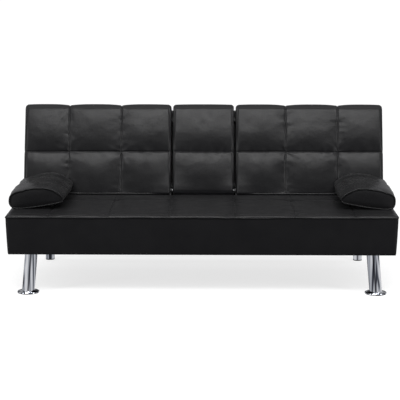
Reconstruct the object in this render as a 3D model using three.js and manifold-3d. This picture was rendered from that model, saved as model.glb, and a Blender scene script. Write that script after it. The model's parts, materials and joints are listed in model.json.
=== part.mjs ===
// A three-seat click-clack sofa bed: an upholstered seat on chrome front legs and a rear support
// frame, a backrest in two wide sections that reclines to a bed, a middle section between them
// that folds down to a table with two cup holders, and two loose armrest pillows.
// Millimetres, +Z up, the front faces -Y, the origin is on the floor below the middle of the sofa.
import * as THREE from "three";
import { mergeVertices } from "three/addons/utils/BufferGeometryUtils.js";
import Module from "manifold-3d";

const wasm = await Module();
wasm.setup();

// ---- Driving dimensions -------------------------------------------------------------------
// Depths (y) are measured back from the seat's front face, and heights (z) from the floor.
const ORIGIN_DEPTH = 386;
const GAP = 0.4;
const COVER = 2;

const SEAT_HALF_WIDTH = 830;
const SEAT_DEPTH = 532;
const SEAT_BOTTOM = 175;
const SEAT_TOP = 345;
const SEAT_FRONT_ROUND = 14;
const SEAT_REAR_ROUND = 8;
const RAIL_THICKNESS = 24.6;
const WADDING = 4;
const RAIL_BOTTOM = 178;
const RAIL_TOP = 270;
const REAR_RAIL_FRONT = 503;
const REAR_RAIL_HALF_LENGTH = 786;
const FOAM_BOTTOM = 277;
const DUST_COVER_BOTTOM = 176.4;
const DUST_COVER_THICKNESS = 1.2;
const SPRING_COUNT = 6;
const SPRING_WIRE = 3.6;
const SPRING_HALF_WAVE = 42;
const SPRING_AMPLITUDE = 26;

const HINGE_DEPTH = 540;
const HINGE_HEIGHT = 333;
const LEAN = THREE.MathUtils.degToRad(18);
const HINGE_BOSS = 7.5;
const HINGE_PLATE_X = 799.6;
const BACK_PLATE_X = 795.6;
const PLATE_THICKNESS = 3;
const RATCHET_RADIUS = 24;
const RATCHET_TEETH = 6;
const PAWL_DEPTH = 528;
const PAWL_HEIGHT = 284;

// The backrest's own frame: n runs back through its thickness, u up along it, from the hinge.
const BACK_FRONT = -12;
const BACK_REAR = 108;
const BACK_LOW = 11;
const BACK_HIGH = 439;
const BACK_ROUND = 25;
const SECTION_INNER = 149;
const POST_FRONT = 30;
const POST_REAR = 80;
const CROSSBAR = 20;
const LOWER_CROSSBAR_U = 60;
const UPPER_CROSSBAR_U = 370;

const CONSOLE_HALF_WIDTH = 142;
const CONSOLE_REAR = 74;
const CONSOLE_PIVOT_ROUND = 16;
const CONSOLE_PIVOT_N = BACK_FRONT + CONSOLE_PIVOT_ROUND;
const CONSOLE_PIVOT_U = 32.3;
const CONSOLE_PIN_RADIUS = 5;
const PIN_BLOCK_FRONT = -3;
const PIN_BLOCK_INSET = 6;
const SIDE_BOARD_FRONT = 8;
const CUP_SPACING = 62;
const CUP_U = 262;
const CUP_RADIUS = 39;
const CUP_DEPTH = 56;

const LEG_RADIUS = 27;
const LEG_WALL = 1.5;
const LEG_TOP = new THREE.Vector3(732, 60, 172.5);
const LEG_FOOT = new THREE.Vector3(747, 48, 9.8);
const FOOT_RADIUS = 47;
const REAR_LEG_X = 733;
const REAR_LEG_DEPTH = 719;
const REAR_LEG_RADIUS = 21;
const ARM_TUBE = 30;
const ARM_TOP = 174.5;
const ARM_START = 170;

const PILLOW_FRONT = 160;
const PILLOW_LENGTH = 362;

// ---- Finishes -----------------------------------------------------------------------------
function finish(color, roughness, metalness) {
  return new THREE.MeshStandardMaterial({ color, roughness, metalness });
}
const leather = finish(0x1d1c1e, 0.42, 0);
const lining = finish(0x17171a, 0.9, 0);
const foam = finish(0xd9cf9e, 0.95, 0);
const timber = finish(0xc39a66, 0.75, 0);
const chrome = finish(0xd9dcdf, 0.08, 1);
const blackSteel = finish(0x222325, 0.5, 0.7);
const zinc = finish(0x9a9da0, 0.35, 1);
const blackPlastic = finish(0x141415, 0.45, 0);

// ---- Solids -------------------------------------------------------------------------------
function solidOf(geometry) {
  const plain = geometry.clone();
  plain.deleteAttribute("normal");
  plain.deleteAttribute("uv");
  const merged = mergeVertices(plain, 1e-4);
  return new wasm.Manifold(
    new wasm.Mesh({
      numProp: 3,
      vertProperties: merged.attributes.position.array,
      triVerts: new Uint32Array(merged.index.array),
    }),
  );
}

function geometryOf(solid) {
  const mesh = solid.getMesh();
  const geometry = new THREE.BufferGeometry();
  geometry.setAttribute("position", new THREE.BufferAttribute(mesh.vertProperties, 3));
  geometry.setIndex(new THREE.BufferAttribute(mesh.triVerts, 1));
  geometry.computeVertexNormals();
  return geometry;
}

function join(...geometries) {
  return geometryOf(geometries.map(solidOf).reduce((whole, piece) => whole.add(piece)));
}

function cut(body, ...tools) {
  return geometryOf(tools.map(solidOf).reduce((left, tool) => left.subtract(tool), solidOf(body)));
}

function box(x0, x1, y0, y1, z0, z1) {
  const block = new THREE.BoxGeometry(x1 - x0, y1 - y0, z1 - z0);
  return block.translate((x0 + x1) / 2, (y0 + y1) / 2, (z0 + z1) / 2);
}

// An outline with square corners, listed anticlockwise as [a, b, radius].
function roundedOutline(corners) {
  const outline = new THREE.Shape();
  corners.forEach(([a, b, radius], i) => {
    if (!radius) {
      i ? outline.lineTo(a, b) : outline.moveTo(a, b);
      return;
    }
    const corner = new THREE.Vector2(a, b);
    const towards = (step) => {
      const [c, d] = corners[(i + step + corners.length) % corners.length];
      return new THREE.Vector2(c, d).sub(corner).setLength(radius);
    };
    const centre = corner.clone().add(towards(-1)).add(towards(1));
    const start = towards(1).negate().angle();
    outline.absarc(centre.x, centre.y, radius, start, start + Math.PI / 2, false);
  });
  outline.closePath();
  return outline;
}

// Extrudes an outline drawn in (y, z) along x.
function extrudeAcross(outline, x0, x1, curveSegments = 3) {
  const depth = x1 - x0;
  const body = new THREE.ExtrudeGeometry(outline, { depth, bevelEnabled: false, curveSegments });
  const axes = new THREE.Matrix4().makeBasis(
    new THREE.Vector3(0, 1, 0),
    new THREE.Vector3(0, 0, 1),
    new THREE.Vector3(1, 0, 0),
  );
  return body.applyMatrix4(axes).translate(x0, 0, 0);
}

function discAcross(radius, x0, x1, y, z, sides = 20) {
  const disc = new THREE.CylinderGeometry(radius, radius, x1 - x0, sides);
  return disc.rotateZ(Math.PI / 2).translate((x0 + x1) / 2, y, z);
}

function upright(radius, z0, z1, x, y, sides = 32) {
  const column = new THREE.CylinderGeometry(radius, radius, z1 - z0, sides);
  return column.rotateX(Math.PI / 2).translate(x, y, (z0 + z1) / 2);
}

// A profile of [radius, height] points turned about z.
function turned(profile, sides = 32) {
  const points = profile.map(([radius, height]) => new THREE.Vector2(radius, height));
  return new THREE.LatheGeometry(points, sides).rotateX(Math.PI / 2);
}

function wire(curve, radius, steps, sides) {
  const section = new THREE.Shape();
  for (let i = 0; i < sides; i++) {
    const angle = (2 * Math.PI * i) / sides;
    const point = [radius * Math.cos(angle), radius * Math.sin(angle)];
    i ? section.lineTo(...point) : section.moveTo(...point);
  }
  section.closePath();
  return new THREE.ExtrudeGeometry(section, { steps, extrudePath: curve });
}

function place(parent, name, geometry, material) {
  const mesh = new THREE.Mesh(geometry, material);
  mesh.name = name;
  parent.add(mesh);
}

// ---- Seat ---------------------------------------------------------------------------------
// Each end has a notch through the rear wall, where the hinge's plates come out.
const HINGE_NOTCH = [786, 806, 500, 534, 262, 339];

function seatOutline(inset, bottom) {
  return roundedOutline([
    [inset, bottom, 0],
    [SEAT_DEPTH - inset, bottom, 0],
    [SEAT_DEPTH - inset, SEAT_TOP - inset, SEAT_REAR_ROUND - inset],
    [inset, SEAT_TOP - inset, SEAT_FRONT_ROUND - inset],
  ]);
}

function hingeNotches() {
  const [x0, x1, ...rest] = HINGE_NOTCH;
  return [box(x0, x1, ...rest), box(-x1, -x0, ...rest)];
}

function seatCover() {
  const inside = SEAT_HALF_WIDTH - COVER;
  return cut(
    extrudeAcross(seatOutline(0, SEAT_BOTTOM), -SEAT_HALF_WIDTH, SEAT_HALF_WIDTH),
    extrudeAcross(seatOutline(COVER, SEAT_BOTTOM - 5), -inside, inside),
    ...hingeNotches(),
  );
}

function seatFoam() {
  const inside = SEAT_HALF_WIDTH - COVER - GAP;
  const block = extrudeAcross(seatOutline(COVER + GAP, FOAM_BOTTOM), -inside, inside);
  return cut(block, ...hingeNotches());
}

// Sinuous springs from the front rail to the rear rail, tied together by two cross wires.
function seatSprings() {
  const height = RAIL_TOP + GAP + SPRING_WIRE / 2 + 0.2;
  const first = 16;
  const last = 518;
  const waves = Math.round((last - first) / SPRING_HALF_WAVE);
  const spacing = (2 * SEAT_HALF_WIDTH) / (SPRING_COUNT + 1);
  const pieces = [];
  for (let i = 1; i <= SPRING_COUNT; i++) {
    const x = i * spacing - SEAT_HALF_WIDTH;
    const points = [];
    for (let k = 0; k <= waves; k++) {
      const side = k % 2 ? 1 : -1;
      const y = first + (k * (last - first)) / waves;
      points.push(new THREE.Vector3(x + side * SPRING_AMPLITUDE, y, height));
    }
    pieces.push(wire(new THREE.CatmullRomCurve3(points), SPRING_WIRE / 2, waves * 3, 4));
  }
  const reach = SEAT_HALF_WIDTH - spacing + SPRING_AMPLITUDE;
  for (const y of [180, 350]) {
    pieces.push(box(-reach, reach, y - 1, y + 1, height - 1, height + 1));
  }
  return join(...pieces);
}

const sofa = new THREE.Group();
sofa.position.y = -ORIGIN_DEPTH;

const base = new THREE.Group();
sofa.add(base);

const railEnd = SEAT_HALF_WIDTH - COVER - WADDING;
const railInner = HINGE_PLATE_X + PLATE_THICKNESS + GAP;
const frontRailFront = COVER + WADDING;
const frontRailBack = frontRailFront + RAIL_THICKNESS;
const dustCoverTop = DUST_COVER_BOTTOM + DUST_COVER_THICKNESS;
place(base, "seat_cover", seatCover(), leather);
place(base, "seat_foam", seatFoam(), foam);
place(base, "seat_springs", seatSprings(), zinc);
place(base, "seat_dust_cover", box(-825, 825, 4, 528, DUST_COVER_BOTTOM, dustCoverTop), lining);
place(
  base,
  "seat_front_rail",
  box(-railEnd, railEnd, frontRailFront, frontRailBack, RAIL_BOTTOM, RAIL_TOP),
  timber,
);
place(
  base,
  "seat_rear_rail",
  box(
    -REAR_RAIL_HALF_LENGTH + GAP,
    REAR_RAIL_HALF_LENGTH - GAP,
    REAR_RAIL_FRONT,
    REAR_RAIL_FRONT + RAIL_THICKNESS,
    RAIL_BOTTOM,
    RAIL_TOP,
  ),
  timber,
);
place(
  base,
  "seat_middle_rail",
  box(-12, 12, frontRailBack + GAP, REAR_RAIL_FRONT - GAP, RAIL_BOTTOM, RAIL_TOP - 8),
  timber,
);

// ---- Legs ---------------------------------------------------------------------------------
// A round tube that leans from foot to top, cut level at both ends.
function leaningTube(foot, top, radius, wall) {
  const along = top.clone().sub(foot);
  const turn = new THREE.Quaternion().setFromUnitVectors(
    new THREE.Vector3(0, 1, 0),
    along.clone().normalize(),
  );
  const middle = foot.clone().add(top).divideScalar(2);
  const rod = (r, spare) =>
    new THREE.CylinderGeometry(r, r, along.length() + spare, 32)
      .applyQuaternion(turn)
      .translate(middle.x, middle.y, middle.z);
  const reach = 200;
  const above = box(
    foot.x - reach,
    foot.x + reach,
    foot.y - reach,
    foot.y + reach,
    top.z,
    top.z + reach,
  );
  const below = box(
    foot.x - reach,
    foot.x + reach,
    foot.y - reach,
    foot.y + reach,
    foot.z - reach,
    foot.z,
  );
  return cut(rod(radius, 40), rod(radius - wall, 80), above, below);
}

function squareTubeAlongY(x, y0, y1, top, size, wall) {
  const half = size / 2;
  const inner = half - wall;
  return cut(
    box(x - half, x + half, y0, y1, top - size, top),
    box(x - inner, x + inner, y0 - 1, y1 + 1, top - size + wall, top - wall),
  );
}

function squareTubeAcross(reach, y, z, size, wall) {
  return cut(
    box(-reach, reach, y, y + size, z, z + size),
    box(-reach - 1, reach + 1, y + wall, y + size - wall, z + wall, z + size - wall),
  );
}

function addLegs(half, side) {
  const glide = upright(FOOT_RADIUS - 2, 0, 2, LEG_FOOT.x, LEG_FOOT.y);
  const flange = turned([
    [0, 2.3],
    [FOOT_RADIUS, 2.3],
    [FOOT_RADIUS, 6],
    [FOOT_RADIUS - 2, 8],
    [LEG_RADIUS + 3, 9.4],
    [0, 9.4],
  ]).translate(LEG_FOOT.x, LEG_FOOT.y, 0);
  const plateBottom = LEG_TOP.z + GAP;
  const plateTop = DUST_COVER_BOTTOM - GAP;
  const plateHalf = 42;
  const plate = box(
    LEG_TOP.x - plateHalf,
    LEG_TOP.x + plateHalf,
    LEG_TOP.y - plateHalf,
    LEG_TOP.y + plateHalf,
    plateBottom,
    plateTop,
  );
  place(half, `front_leg_glide_${side}`, glide, blackPlastic);
  place(half, `front_leg_flange_${side}`, flange, chrome);
  place(half, `front_leg_tube_${side}`, leaningTube(LEG_FOOT, LEG_TOP, LEG_RADIUS, LEG_WALL), chrome);
  place(half, `front_leg_plate_${side}`, plate, blackSteel);

  const armEnd = REAR_LEG_DEPTH + REAR_LEG_RADIUS + 2;
  const arm = squareTubeAlongY(REAR_LEG_X, ARM_START, armEnd, ARM_TOP, ARM_TUBE, 2);
  const tubeTop = ARM_TOP - ARM_TUBE - GAP;
  const rearTube = cut(
    upright(REAR_LEG_RADIUS, 4.3, tubeTop, REAR_LEG_X, REAR_LEG_DEPTH),
    upright(REAR_LEG_RADIUS - LEG_WALL, 0, tubeTop + 5, REAR_LEG_X, REAR_LEG_DEPTH),
  );
  const plugRadius = REAR_LEG_RADIUS - LEG_WALL - GAP;
  const cap = turned([
    [0, 0],
    [REAR_LEG_RADIUS, 0],
    [REAR_LEG_RADIUS, 4],
    [plugRadius, 4],
    [plugRadius, 24],
    [0, 24],
  ]).translate(REAR_LEG_X, REAR_LEG_DEPTH, 0);
  place(half, `support_arm_${side}`, arm, blackSteel);
  place(half, `rear_leg_tube_${side}`, rearTube, chrome);
  place(half, `rear_leg_cap_${side}`, cap, blackPlastic);
}

const crossReach = REAR_LEG_X - ARM_TUBE / 2 - GAP;
const supportCrossbar = squareTubeAcross(
  crossReach,
  REAR_LEG_DEPTH - ARM_TUBE / 2,
  ARM_TOP - ARM_TUBE,
  ARM_TUBE,
  2,
);
place(base, "support_crossbar", supportCrossbar, blackSteel);

// ---- Click-clack hinge --------------------------------------------------------------------
function seatHingePlate() {
  const outline = new THREE.Shape();
  outline.moveTo(430, 196);
  outline.lineTo(518, 196);
  outline.lineTo(522, 266);
  outline.lineTo(PAWL_DEPTH + 2, PAWL_HEIGHT - 9);
  outline.lineTo(PAWL_DEPTH + 9, PAWL_HEIGHT - 2);
  outline.absarc(HINGE_DEPTH, HINGE_HEIGHT, HINGE_BOSS, 0, 0.8 * Math.PI, false);
  outline.lineTo(507, 302);
  outline.lineTo(501, 262);
  outline.lineTo(430, 246);
  const plate = extrudeAcross(outline, HINGE_PLATE_X, HINGE_PLATE_X + PLATE_THICKNESS, 4);
  return cut(
    plate,
    discAcross(4.3, HINGE_PLATE_X - 1, HINGE_PLATE_X + 5, HINGE_DEPTH, HINGE_HEIGHT),
    discAcross(3.3, HINGE_PLATE_X - 1, HINGE_PLATE_X + 5, PAWL_DEPTH, PAWL_HEIGHT),
  );
}

// The ratchet's angles are counted from straight down the backrest towards its rear face.
function backHingePlate() {
  const ratchetPoint = (degrees, radius) => {
    const angle = THREE.MathUtils.degToRad(degrees);
    return [radius * Math.sin(angle), -radius * Math.cos(angle)];
  };
  const first = 30;
  const pitch = 88 / RATCHET_TEETH;
  const outline = new THREE.Shape();
  outline.moveTo(...ratchetPoint(first, HINGE_BOSS));
  for (let tooth = 0; tooth < RATCHET_TEETH; tooth++) {
    outline.lineTo(...ratchetPoint(first + tooth * pitch, RATCHET_RADIUS));
    outline.lineTo(...ratchetPoint(first + (tooth + 0.85) * pitch, RATCHET_RADIUS - 3));
  }
  outline.lineTo(52, 52);
  outline.lineTo(58, 140);
  outline.lineTo(34, 140);
  outline.lineTo(8, 24);
  outline.absarc(0, 0, HINGE_BOSS, 0.55 * Math.PI, 1.6 * Math.PI, false);
  const plate = extrudeAcross(outline, BACK_PLATE_X, BACK_PLATE_X + PLATE_THICKNESS, 4);
  return cut(plate, discAcross(4.3, BACK_PLATE_X - 1, BACK_PLATE_X + 5, 0, 0));
}

function pawl() {
  const reach = RATCHET_RADIUS + 0.6;
  const tipAngle = THREE.MathUtils.degToRad(20);
  const tipY = HINGE_DEPTH + reach * Math.sin(tipAngle);
  const tipZ = HINGE_HEIGHT - reach * Math.cos(tipAngle);
  const outline = new THREE.Shape();
  outline.absarc(PAWL_DEPTH, PAWL_HEIGHT, 6.4, 0.75 * Math.PI, 1.7 * Math.PI, false);
  outline.lineTo(tipY + 1, tipZ - 3);
  outline.lineTo(tipY, tipZ);
  outline.lineTo(tipY - 6, tipZ - 4);
  outline.closePath();
  const arm = extrudeAcross(outline, BACK_PLATE_X, BACK_PLATE_X + PLATE_THICKNESS, 4);
  return cut(arm, discAcross(3.3, BACK_PLATE_X - 1, BACK_PLATE_X + 5, PAWL_DEPTH, PAWL_HEIGHT));
}

function headedPin(radius, headRadius, x0, x1, headLength, y, z) {
  return join(
    discAcross(radius, x0, x1, y, z),
    discAcross(headRadius, x0 - headLength, x0 + 0.2, y, z),
    discAcross(headRadius, x1 - 0.2, x1 + headLength, y, z),
  );
}

function pawlSpring() {
  const turns = 4;
  const start = 788.9;
  const length = 5.8;
  const radius = 5;
  const points = [];
  for (let i = 0; i <= turns * 8; i++) {
    const angle = (Math.PI * i) / 4;
    const x = start + (length * i) / (turns * 8);
    const y = PAWL_DEPTH + radius * Math.cos(angle);
    points.push(new THREE.Vector3(x, y, PAWL_HEIGHT + radius * Math.sin(angle)));
  }
  return wire(new THREE.CatmullRomCurve3(points), 0.6, turns * 8, 4);
}

function addHinge(half, side) {
  const endRailBack = SEAT_DEPTH - COVER - GAP;
  const endRail = box(
    railInner,
    railEnd,
    frontRailBack + GAP,
    endRailBack,
    RAIL_BOTTOM,
    RAIL_TOP - 10,
  );
  const bolt = headedPin(4, 6.5, BACK_PLATE_X - GAP, 803.2, 2.8, HINGE_DEPTH, HINGE_HEIGHT);
  const pin = headedPin(3, 4.6, 788, 803, 1.5, PAWL_DEPTH, PAWL_HEIGHT);
  place(half, `seat_end_rail_${side}`, endRail, timber);
  place(half, `hinge_seat_plate_${side}`, seatHingePlate(), zinc);
  place(half, `hinge_pivot_bolt_${side}`, bolt, zinc);
  place(half, `pawl_pin_${side}`, pin, zinc);
  place(half, `pawl_spring_${side}`, pawlSpring(), zinc);
  place(half, `pawl_${side}`, pawl(), zinc);
}

// ---- Backrest -----------------------------------------------------------------------------
function backOutline(inset) {
  return roundedOutline([
    [BACK_FRONT + inset, BACK_LOW + inset, 9 - inset],
    [BACK_REAR - inset, BACK_LOW + inset, 12 - inset],
    [BACK_REAR - inset, BACK_HIGH - inset, BACK_ROUND - inset],
    [BACK_FRONT + inset, BACK_HIGH - inset, BACK_ROUND - inset],
  ]);
}

const crossbarHeights = [LOWER_CROSSBAR_U, UPPER_CROSSBAR_U];
const crossbarFront = POST_REAR + GAP;
const sectionInside = SECTION_INNER + COVER;
const sectionPanelFront = crossbarFront + CROSSBAR + 2;

function sectionCover() {
  const inner = extrudeAcross(backOutline(COVER), sectionInside, SEAT_HALF_WIDTH - COVER);
  const crossbarHoles = crossbarHeights.map((u) =>
    box(
      SECTION_INNER - 5,
      sectionInside + 5,
      crossbarFront - 1,
      crossbarFront + CROSSBAR + 1,
      u - 1,
      u + CROSSBAR + 1,
    ),
  );
  return cut(
    extrudeAcross(backOutline(0), SECTION_INNER, SEAT_HALF_WIDTH),
    inner,
    box(SECTION_INNER + 30, SEAT_HALF_WIDTH - 30, BACK_REAR - 5, BACK_REAR + 5, 45, 405),
    box(791, 803, -3, 62, 5, BACK_LOW + COVER + 2),
    discAcross(6, SECTION_INNER - 2, sectionInside + 2, CONSOLE_PIVOT_N, CONSOLE_PIVOT_U),
    ...crossbarHoles,
  );
}

function sectionFrame() {
  const inner = sectionInside + GAP;
  const outer = SEAT_HALF_WIDTH - COVER - GAP;
  const postInner = HINGE_PLATE_X;
  const inPost = inner + 25;
  const whole = join(
    box(inner, inPost, POST_FRONT, POST_REAR, 16, 424),
    box(postInner, outer, POST_FRONT, POST_REAR, 16, 424),
    box(inPost - 1, postInner + 1, POST_FRONT, POST_REAR, 16, 44),
    box(inPost - 1, postInner + 1, POST_FRONT, POST_REAR, 396, 424),
    box(inner + PIN_BLOCK_INSET, inPost, PIN_BLOCK_FRONT, POST_FRONT + 1, 22, 62),
  );
  return cut(
    whole,
    box(787, postInner, POST_FRONT - 1, 62, 10, 50),
    discAcross(CONSOLE_PIN_RADIUS + 0.3, inner - 1, inPost + 1, CONSOLE_PIVOT_N, CONSOLE_PIVOT_U),
  );
}

// The foam wraps the frame; everything the frame, bars, pin and hinge plate need is cut out.
function sectionFoam() {
  const inner = sectionInside + GAP;
  const outer = SEAT_HALF_WIDTH - COVER - GAP;
  const inPost = inner + 25 + GAP;
  const low = 16 - GAP;
  const high = 424 + GAP;
  const front = POST_FRONT - GAP;
  const behind = POST_REAR + GAP;
  const channels = crossbarHeights.map((u) =>
    box(inner - 1, outer + 1, behind - 1, BACK_REAR, u - 1, u + CROSSBAR + 1),
  );
  return cut(
    extrudeAcross(backOutline(COVER + GAP), inner, outer),
    box(inner - 1, inPost, front, behind, low, high),
    box(HINGE_PLATE_X - GAP, outer + 1, front, behind, low, high),
    box(inner, outer, front, behind, low, 44 + GAP),
    box(inner, outer, front, behind, 396 - GAP, high),
    box(
      inner + PIN_BLOCK_INSET - GAP,
      inPost,
      PIN_BLOCK_FRONT - GAP,
      front + 1,
      22 - GAP,
      62 + GAP,
    ),
    discAcross(6, inner - 1, inPost, CONSOLE_PIVOT_N, CONSOLE_PIVOT_U),
    box(inPost - 2, inPost + 5, -6, 16, 22, 44),
    box(787, HINGE_PLATE_X + 1, -3, behind, 5, 145),
    box(inner - 1, outer + 1, sectionPanelFront - GAP, BACK_REAR, 5, 445),
    ...channels,
  );
}

const backrest = new THREE.Group();
backrest.position.set(0, HINGE_DEPTH, HINGE_HEIGHT);
backrest.rotation.x = -LEAN;
sofa.add(backrest);

function addSection(half, side) {
  const panelInner = sectionInside + GAP + 5;
  const panelOuter = SEAT_HALF_WIDTH - COVER - GAP - 5;
  const panelRear = sectionPanelFront + PLATE_THICKNESS;
  const panel = box(panelInner, panelOuter, sectionPanelFront, panelRear, 24, 412);
  const pinEnd = sectionInside + GAP + 25;
  const pin = join(
    discAcross(CONSOLE_PIN_RADIUS, boardInner + 1, pinEnd + 1, CONSOLE_PIVOT_N, CONSOLE_PIVOT_U),
    discAcross(8, pinEnd + GAP, pinEnd + 4, CONSOLE_PIVOT_N, CONSOLE_PIVOT_U),
  );
  place(half, `back_cover_${side}`, sectionCover(), leather);
  place(half, `back_foam_${side}`, sectionFoam(), foam);
  place(half, `back_frame_${side}`, sectionFrame(), timber);
  place(half, `back_rear_panel_${side}`, panel, lining);
  place(half, `console_pivot_pin_${side}`, pin, zinc);
  place(half, `hinge_back_plate_${side}`, backHingePlate(), zinc);
}

const crossbarReach = SEAT_HALF_WIDTH - 5;
["back_lower_crossbar", "back_upper_crossbar"].forEach((name, i) => {
  const tube = squareTubeAcross(crossbarReach, crossbarFront, crossbarHeights[i], CROSSBAR, 1.5);
  place(backrest, name, tube, blackSteel);
});
const bayPanelFront = crossbarFront + CROSSBAR + GAP;
place(
  backrest,
  "console_bay_panel",
  box(-SECTION_INNER + 1, SECTION_INNER - 1, bayPanelFront, bayPanelFront + 4, 16, 426),
  leather,
);

// ---- Console ------------------------------------------------------------------------------
const consoleLow = CONSOLE_PIVOT_U - CONSOLE_PIVOT_ROUND;

function consoleOutline(inset, rear, rearRound) {
  return roundedOutline([
    [BACK_FRONT + inset, consoleLow + inset, CONSOLE_PIVOT_ROUND - inset],
    [rear, consoleLow + inset, rearRound],
    [rear, BACK_HIGH - inset, rearRound * 1.5],
    [BACK_FRONT + inset, BACK_HIGH - inset, BACK_ROUND - inset],
  ]);
}

const consoleInside = CONSOLE_HALF_WIDTH - COVER;
const boardOuter = consoleInside - WADDING;
const boardInner = boardOuter - 12;
const boardRear = CONSOLE_REAR - COVER - 4;
const foamRear = 14;

function consoleCover() {
  return cut(
    extrudeAcross(consoleOutline(0, CONSOLE_REAR, 8), -CONSOLE_HALF_WIDTH, CONSOLE_HALF_WIDTH),
    extrudeAcross(consoleOutline(COVER, CONSOLE_REAR - COVER, 6), -consoleInside, consoleInside),
    box(-128, 128, CONSOLE_REAR - 5, CONSOLE_REAR + 5, 34, 415),
    discAcross(6, -CONSOLE_HALF_WIDTH - 1, CONSOLE_HALF_WIDTH + 1, CONSOLE_PIVOT_N, CONSOLE_PIVOT_U),
  );
}

// A side board, larger by spare all round: its front steps forward at the foot, round the pivot.
function sideBoard(side, spare) {
  const edges = [side * (boardInner - spare), side * (boardOuter + spare)];
  const [x0, x1] = edges.sort((a, b) => a - b);
  const rear = boardRear + spare;
  return join(
    box(x0, x1, SIDE_BOARD_FRONT - spare, rear, 23 - spare, 425 + spare),
    box(x0, x1, PIN_BLOCK_FRONT - spare, rear, 23 - spare, 44 + spare),
  );
}

function consoleFoam() {
  const reach = consoleInside - GAP;
  const block = consoleOutline(COVER + GAP, foamRear, 0);
  return cut(
    extrudeAcross(block, -reach, reach),
    sideBoard(-1, GAP),
    sideBoard(1, GAP),
    discAcross(6, -reach - 1, reach + 1, CONSOLE_PIVOT_N, CONSOLE_PIVOT_U),
  );
}

function cupHolder() {
  const floor = -CUP_DEPTH;
  return turned([
    [0, floor],
    [CUP_RADIUS - 3, floor],
    [CUP_RADIUS, floor + 4],
    [CUP_RADIUS + 0.6, 0],
    [CUP_RADIUS + 6, 0],
    [CUP_RADIUS + 6, 1.4],
    [CUP_RADIUS + 4, 2.2],
    [CUP_RADIUS - 1.4, 2.2],
    [CUP_RADIUS - 2, floor + 5],
    [CUP_RADIUS - 5, floor + 2],
    [0, floor + 2],
  ])
    .rotateX(-Math.PI / 2)
    .translate(CUP_SPACING, CONSOLE_REAR - COVER + GAP, CUP_U);
}

function addConsoleSide(half, side) {
  const board = cut(
    sideBoard(1, 0),
    discAcross(
      CONSOLE_PIN_RADIUS + 0.3,
      boardInner - 1,
      boardOuter + 1,
      CONSOLE_PIVOT_N,
      CONSOLE_PIVOT_U,
    ),
  );
  place(half, `console_side_board_${side}`, board, timber);
  place(half, `cup_holder_${side}`, cupHolder(), blackPlastic);
}

const consoleGroup = new THREE.Group();
backrest.add(consoleGroup);
place(consoleGroup, "console_cover", consoleCover(), leather);
place(consoleGroup, "console_foam", consoleFoam(), foam);
const endReach = boardInner - GAP;
[
  ["console_lower_board", 19],
  ["console_upper_board", 421],
].forEach(([name, u]) => {
  const board = box(-endReach, endReach, foamRear + GAP, boardRear, u, u + 12);
  place(consoleGroup, name, board, timber);
});
function panelHole(side) {
  const hole = new THREE.CylinderGeometry(CUP_RADIUS + 1.2, CUP_RADIUS + 1.2, 10, 32);
  return hole.translate(side * CUP_SPACING, CONSOLE_REAR - COVER, CUP_U);
}
const consolePanel = cut(
  box(-134, 134, boardRear + GAP, CONSOLE_REAR - COVER - GAP, 24, 424),
  panelHole(-1),
  panelHole(1),
);
place(consoleGroup, "console_rear_panel", consolePanel, lining);

// ---- Armrest pillows ----------------------------------------------------------------------
// Seen from the front, a pillow is thick at its outer side and runs out to a seam inside.
function pillow() {
  const rest = SEAT_TOP + 0.6;
  const outline = new THREE.Shape();
  outline.moveTo(650, rest);
  outline.lineTo(804, rest);
  outline.quadraticCurveTo(829, rest, 829, 372);
  outline.lineTo(829, 402);
  outline.quadraticCurveTo(826, 424, 790, 432);
  outline.quadraticCurveTo(700, 452, 640, 424);
  outline.quadraticCurveTo(592, 400, 592, 380);
  outline.quadraticCurveTo(596, 352, 650, rest);
  const body = new THREE.ExtrudeGeometry(outline, {
    depth: PILLOW_LENGTH,
    bevelEnabled: false,
    curveSegments: 4,
  });
  return body.rotateX(Math.PI / 2).translate(0, PILLOW_FRONT + PILLOW_LENGTH, 0);
}

// ---- The two sides ------------------------------------------------------------------------
for (const [side, mirror] of [
  ["left", -1],
  ["right", 1],
]) {
  const mirroredHalf = (parent) => {
    const half = new THREE.Group();
    half.scale.x = mirror;
    parent.add(half);
    return half;
  };
  const baseHalf = mirroredHalf(base);
  addLegs(baseHalf, side);
  addHinge(baseHalf, side);
  addSection(mirroredHalf(backrest), side);
  addConsoleSide(mirroredHalf(consoleGroup), side);
  place(mirroredHalf(sofa), `armrest_pillow_${side}`, pillow(), leather);
}

export default sofa;
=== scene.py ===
import json
import math

import bmesh
import bpy
import numpy as np
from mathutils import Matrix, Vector


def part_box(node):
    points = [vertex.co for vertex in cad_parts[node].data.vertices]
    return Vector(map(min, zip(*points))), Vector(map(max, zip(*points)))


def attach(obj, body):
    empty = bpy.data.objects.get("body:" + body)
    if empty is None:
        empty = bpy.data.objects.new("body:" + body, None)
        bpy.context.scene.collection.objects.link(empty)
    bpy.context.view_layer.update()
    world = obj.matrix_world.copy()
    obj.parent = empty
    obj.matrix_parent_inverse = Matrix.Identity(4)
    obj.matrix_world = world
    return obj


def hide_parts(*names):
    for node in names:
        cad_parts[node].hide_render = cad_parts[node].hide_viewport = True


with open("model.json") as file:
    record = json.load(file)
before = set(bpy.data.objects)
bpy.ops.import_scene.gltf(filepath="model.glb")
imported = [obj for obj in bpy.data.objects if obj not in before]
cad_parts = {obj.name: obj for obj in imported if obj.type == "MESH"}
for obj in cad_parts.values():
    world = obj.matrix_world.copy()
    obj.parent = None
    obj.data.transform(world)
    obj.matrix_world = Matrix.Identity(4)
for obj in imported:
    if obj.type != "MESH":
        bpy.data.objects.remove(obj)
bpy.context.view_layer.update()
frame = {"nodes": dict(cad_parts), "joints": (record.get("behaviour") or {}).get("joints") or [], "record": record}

MM = 0.001
JOINT = {joint["name"]: joint for joint in frame["joints"]}

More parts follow.
